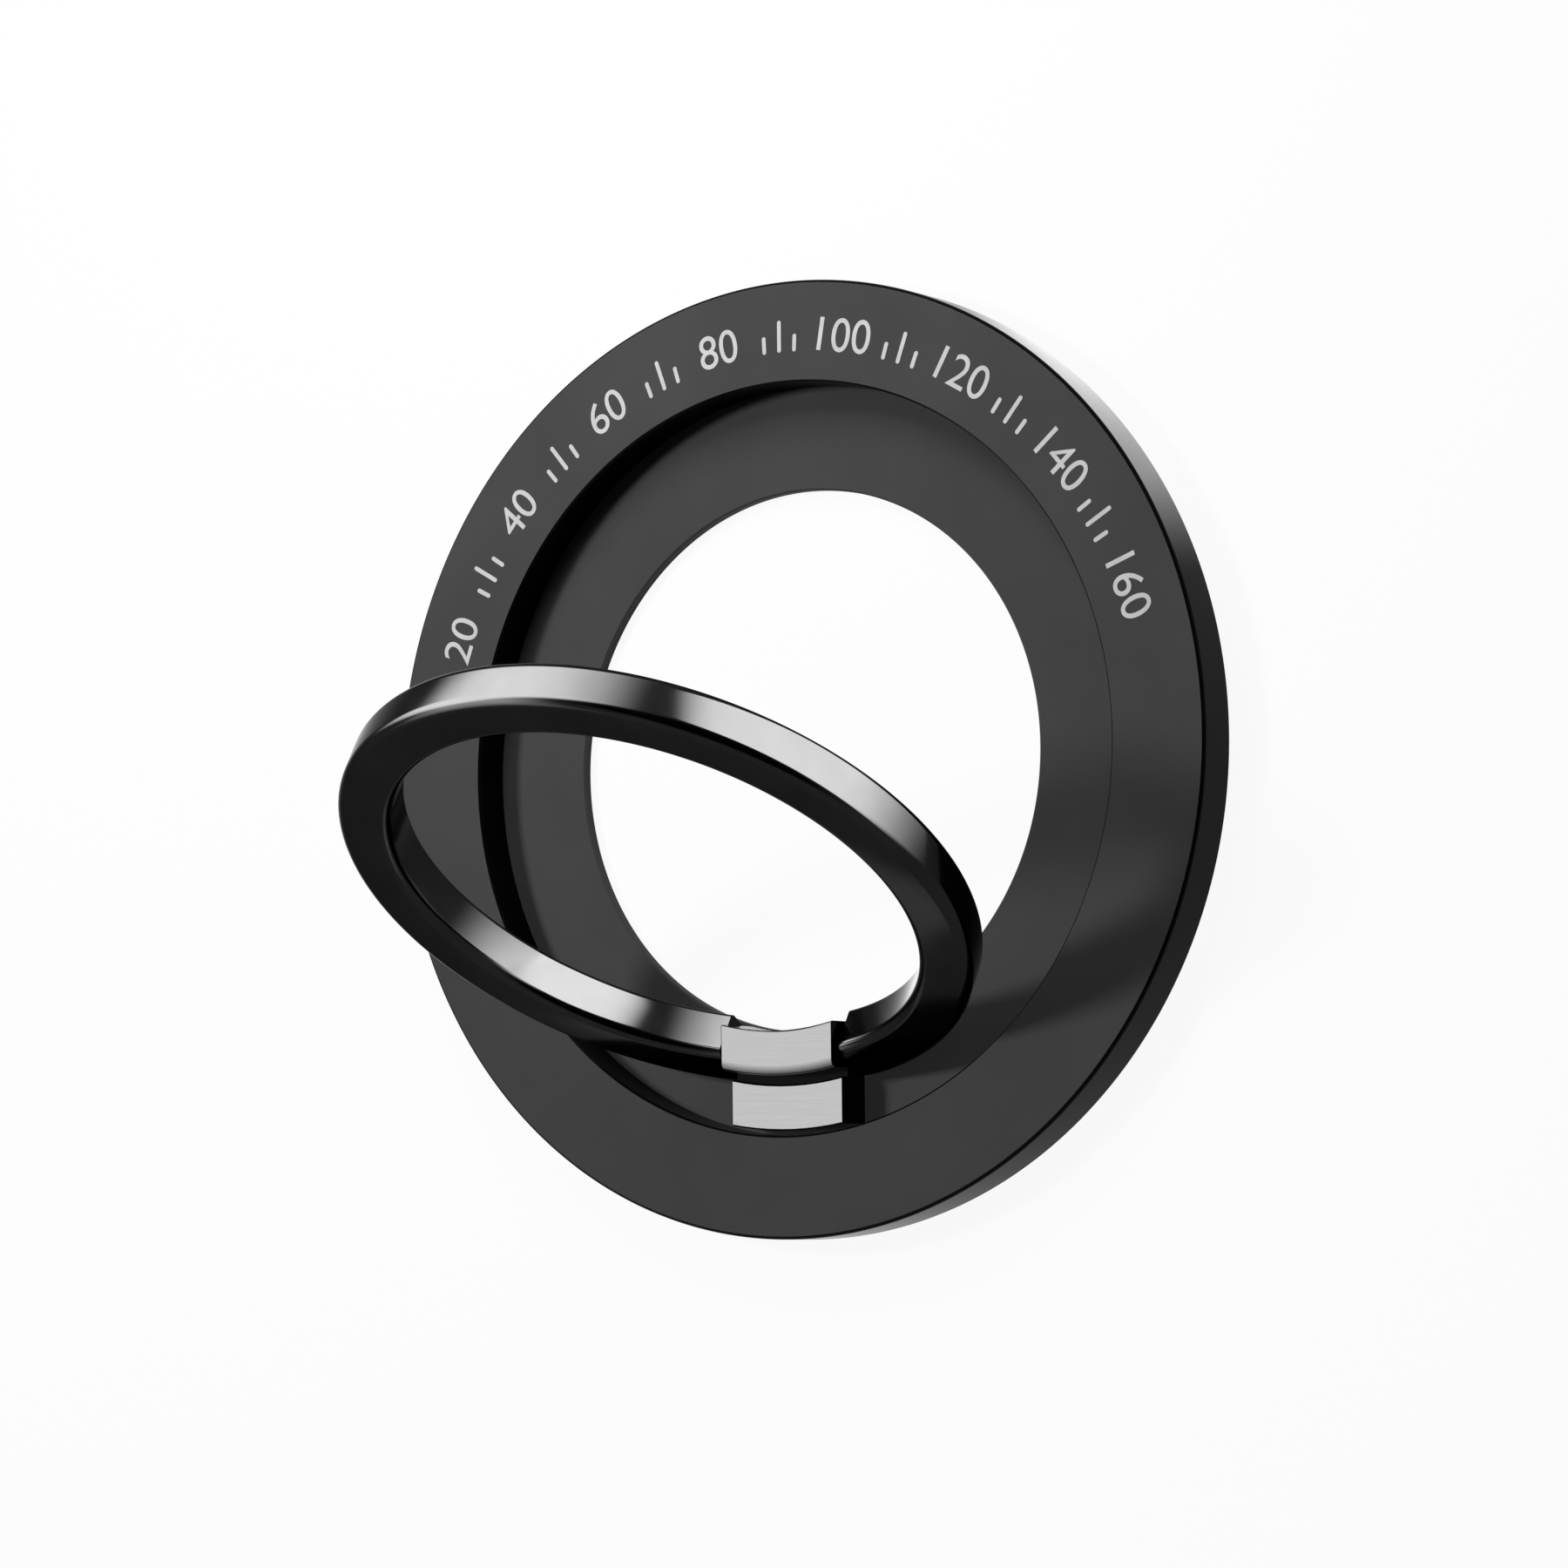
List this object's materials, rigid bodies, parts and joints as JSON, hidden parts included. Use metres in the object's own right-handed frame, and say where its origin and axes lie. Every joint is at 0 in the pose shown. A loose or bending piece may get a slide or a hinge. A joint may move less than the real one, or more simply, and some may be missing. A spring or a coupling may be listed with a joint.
{
  "type": "phone ring holder",
  "caption": "Flat round magnetic base with an open centre and a hinged finger ring that folds into its recess, for the back of a phone.",
  "frame": {"origin": "centre of the round back face that lies on the phone", "axes": "+Z out of the front face, -Y from the centre towards the hinge, X along the hinge axis"},
  "size_m": [0.056, 0.056, 0.0324],
  "materials": {
    "base_paint": "matte",
    "ring_plating": "gloss",
    "hinge_metal": "satin",
    "pin_steel": "satin",
    "screw_steel": "satin",
    "yoke_steel": "satin",
    "magnet_nickel": "gloss",
    "washer_nylon": "matte",
    "pad_silicone": "matte"
  },
  "bodies": {
    "base": {"base_shell": "base_paint", "yoke_ring": "yoke_steel", "back_pad": "pad_silicone", "hinge_block": "hinge_metal", "hinge_pin": "pin_steel", "friction_washer_left": "washer_nylon", "friction_washer_right": "washer_nylon", "hinge_screws": "screw_steel", "magnet_01": "magnet_nickel", "magnet_02": "magnet_nickel", "magnet_03": "magnet_nickel", "magnet_04": "magnet_nickel", "magnet_05": "magnet_nickel", "magnet_06": "magnet_nickel", "magnet_07": "magnet_nickel", "magnet_08": "magnet_nickel", "magnet_09": "magnet_nickel", "magnet_10": "magnet_nickel", "magnet_11": "magnet_nickel", "magnet_12": "magnet_nickel", "magnet_13": "magnet_nickel", "magnet_14": "magnet_nickel", "magnet_15": "magnet_nickel", "magnet_16": "magnet_nickel"},
    "ring": {"finger_ring": "ring_plating"}
  },
  "joints": [
    {"name": "ring_hinge", "type": "hinge", "parent": "base", "child": "ring", "pos_m": [0, -0.0165, 0.00199], "axis": [1, 0, 0], "range_deg": [-57.5, 32.5]}
  ]
}
